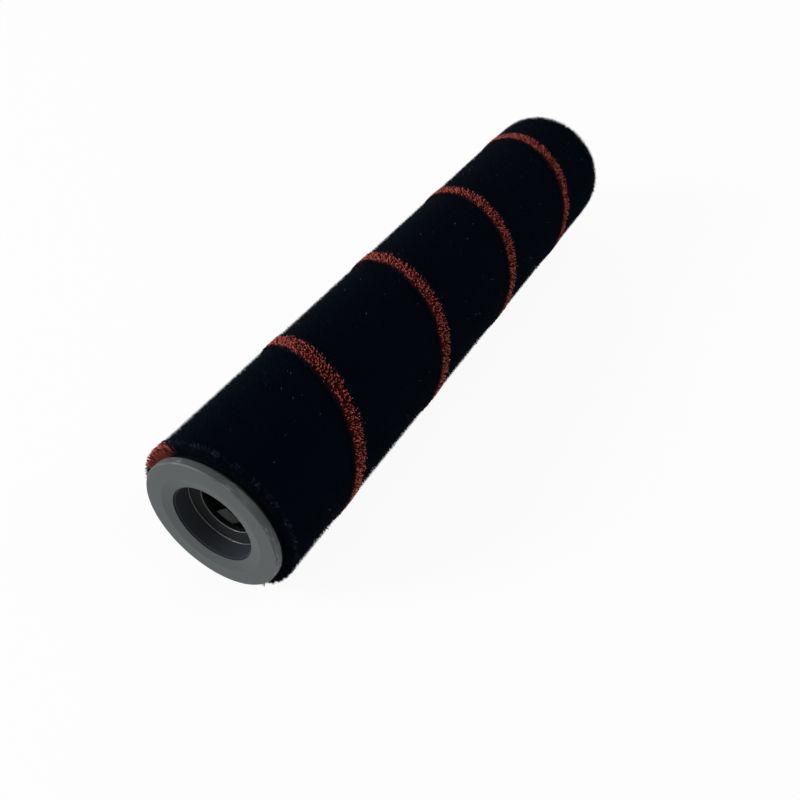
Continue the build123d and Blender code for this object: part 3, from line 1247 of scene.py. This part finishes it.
@dataclass
class Studio:
    """Pale floor, soft lamps and the camera of the photograph."""

    lamps: tuple[Lamp, ...]
    lens: float = 38.294
    sensor_width: float = 36.0
    nearest: float = 0.01
    camera_at: Place = (-0.21335, -0.11078, 0.19254)
    camera_along: Place = (0.6479, 0.3652, -0.6685)
    floor_reach: float = 6.0
    floor_colour: Rgb = (0.85, 0.85, 0.85)
    floor_roughness: float = 0.9
    floor_gloss: float = 0.1
    floor_white: float = 0.92
    ambient: float = 0.28

    def camera(self) -> None:
        """Sets up the camera at the photograph's viewing angle."""
        data = bpy.data.cameras.new("camera")
        data.lens = self.lens
        data.sensor_width = self.sensor_width
        data.clip_start = self.nearest
        made = bpy.data.objects.new("camera", data)
        made.location = self.camera_at
        made.rotation_mode = "QUATERNION"
        made.rotation_quaternion = Vector(self.camera_along).to_track_quat("-Z", "Y")
        bpy.context.scene.collection.objects.link(made)
        bpy.context.scene.camera = made

    def floor(self) -> None:
        """A wide pale floor that keeps the roller's shadow."""
        bm = bmesh.new()
        bmesh.ops.create_grid(bm, x_segments=1, y_segments=1, size=self.floor_reach)
        mesh = bpy.data.meshes.new("floor")
        bm.to_mesh(mesh)
        bm.free()
        sheet = NodeSheet.material("pale_floor")
        sheet.fix("Base Color", (*self.floor_colour, 1))
        sheet.fix("Roughness", self.floor_roughness)
        sheet.fix("Specular IOR Level", self.floor_gloss)
        white = sheet.node("ShaderNodeEmission", {})["Emission"]
        share = sheet.calculate("MULTIPLY", sheet.seen(), self.floor_white)
        fed = {"Fac": share, 1: sheet.shader.outputs["BSDF"], 2: white}
        blend = sheet.node("ShaderNodeMixShader", fed)["Shader"]
        sheet.links.new(blend, sheet.nodes["Material Output"].inputs["Surface"])
        new_object("floor", mesh, sheet.owner)

    def world(self) -> None:
        """Even light from all round, white to the camera and in reflections."""
        sheet = NodeSheet(bpy.data.worlds.new("studio"), "Background")
        bpy.context.scene.world = sheet.owner
        sheet.fix("Color", (1, 1, 1, 1))
        sheet.drive("Strength", sheet.ramp(sheet.seen(), (0.0, 1.0), (self.ambient, 1.0)))

    def build(self) -> None:
        """Sets up the whole studio."""
        bpy.context.scene.view_settings.view_transform = "Standard"
        self.camera()
        self.floor()
        self.world()
        for lamp in self.lamps:
            lamp.hang()


FRAY_REACH = {End.DRIVE: 1.0, End.IDLE: 0.3}
PILES = {
    Colour.BLACK: Pile(spacing=0.46, sway=0.06, uneven=0.16, thickness=(0.2, 0.32)),
    Colour.RED: Pile(spacing=0.56, sway=0.11, uneven=0.2, thickness=(0.3, 0.44), rise=0.06, blunt=0.75),
}

# The root colours are painted shade at the foot of the fibres, and they colour the beds too.
BLACK_ROOT_SHADE = (0.001, 0.0027, 0.0057)
BLACK_TIP = (0.0013, 0.0035, 0.0075)
BLACK_GLEAM = (0.12, 0.134, 0.163)
NIGHT = (0.6, 0.7, 0.9)
RED_ROOT_SHADE = (0.03, 0.0022, 0.0019)
RED_TIP = (0.075, 0.0063, 0.005)
RED_GLEAM = (0.9, 0.2, 0.15)
BLUSH = (1.0, 0.5, 0.45)
BLACK_FRAY = PlushFinish("black_fray", BLACK_ROOT_SHADE, BLACK_TIP, BLACK_GLEAM, 0.012, NIGHT, gloss=0.03)
RED_FRAY = PlushFinish("red_fray", RED_ROOT_SHADE, (0.16, 0.025, 0.018), (0.95, 0.24, 0.17), 0.1, BLUSH, gloss=0.08)
FRAYS = {Colour.BLACK: BLACK_FRAY, Colour.RED: RED_FRAY}
PLUSH = {
    Colour.BLACK: replace(BLACK_FRAY, name="black_plush", root_shade_share=8.0),
    Colour.RED: PlushFinish(
        "red_plush", RED_ROOT_SHADE, RED_TIP, RED_GLEAM, 0.06, BLUSH, gloss=0.06, root_shade_share=9.0
    ),
}
BEDS = {Colour.BLACK: BedFinish("black_bed", BLACK_ROOT_SHADE), Colour.RED: BedFinish("red_bed", RED_ROOT_SHADE)}

GRAINED = (0.16, 0.012)
SLEEK = (0.2, 0.003)
# Scuffs on the flange rim; on the edge chamfer they paint a highlight line.
SCUFFS_AND_EDGE_HIGHLIGHT = ScuffsAndEdgeHighlight((0.16, 0.17, 0.175), from_radius_mm=20.5)
GREY = MouldedFinish(
    "grey_moulded", (0.058, 0.0655, 0.068), (0.0513, 0.058, 0.06), 0.46, GRAINED, gloss=0.2, scuffs_and_highlight=SCUFFS_AND_EDGE_HIGHLIGHT
)
# The grey plastic painted lighter for the ribs: a lit copy of the grey.
PAINTED_LIT_GREY = MouldedFinish("painted_lit_grey", (0.33, 0.34, 0.345), (0.295, 0.304, 0.308), 0.5, GRAINED, gloss=0.3)
DARK = MouldedFinish("dark_moulded", (0.032, 0.0362, 0.042), (0.0266, 0.0298, 0.0346), 0.4, SLEEK, gloss=0.04)
# The dark plastic painted darker from the ledge inwards: painted shade in the recess.
PAINTED_SHADE_DARK = MouldedFinish("painted_shade_dark", (0.0062, 0.007, 0.008), (0.005, 0.0057, 0.0064), 0.45, SLEEK, gloss=0.12)
WAVY = (0.5, 0.003)
# Pale, glossy finish of the beads: painted highlight lines along the ledge's edges.
PAINTED_HIGHLIGHT_LINES = MouldedFinish("rubbed_edge", (0.15, 0.155, 0.16), (0.07, 0.074, 0.078), 0.25, WAVY, gloss=0.8)
TUBE = MouldedFinish("tube_moulded", (0.05, 0.05, 0.052), (0.04, 0.04, 0.042), 0.5, (0.3, 0.01))
SOLIDS = SolidPieces(
    ribs=PAINTED_LIT_GREY,
    recess_shade=PAINTED_SHADE_DARK,
    tube=TUBE,
    steel=TurnedSteelFinish("turned_steel", (0.62, 0.62, 0.61), (0.46, 0.46, 0.46), 0.3),
    spring=TurnedSteelFinish("black_spring_steel", (0.12, 0.115, 0.11), (0.07, 0.068, 0.066), 0.4),
    backing=WovenFinish("woven_backing", (0.004, 0.005, 0.006), (0.0015, 0.002, 0.003)),
)
LAMPS = (
    Lamp("key", (-0.95, 0.95, 0.55), 18.3),
    Lamp("fill", (-0.65, -0.75, 0.9), 2.2),
    Lamp("side", (0.25, -0.8, 0.95), 4.0),
    Lamp("back", (1.0, 0.6, 0.5), 4.0),
)


def main() -> None:
    """Builds every piece in order."""
    logging.basicConfig(level=logging.INFO, format="%(message)s")
    pieces = [PlushBed(colour).build(BEDS[colour]) for colour in Colour]
    PlushField(Sleeve(PILES), FRAY_REACH).build(PLUSH, FRAYS)
    pieces += [EndCap(end).build(GREY, DARK) for end in End]
    socket = DriveSocket()
    pieces += [socket.build(DARK, PAINTED_SHADE_DARK), socket.beads(PAINTED_HIGHLIGHT_LINES)]
    for piece in pieces:
        log.info("%s: %d faces", piece.name, len(piece.data.polygons))
    SOLIDS.dress()
    Studio(LAMPS).build()


if __name__ == "__main__":
    main()
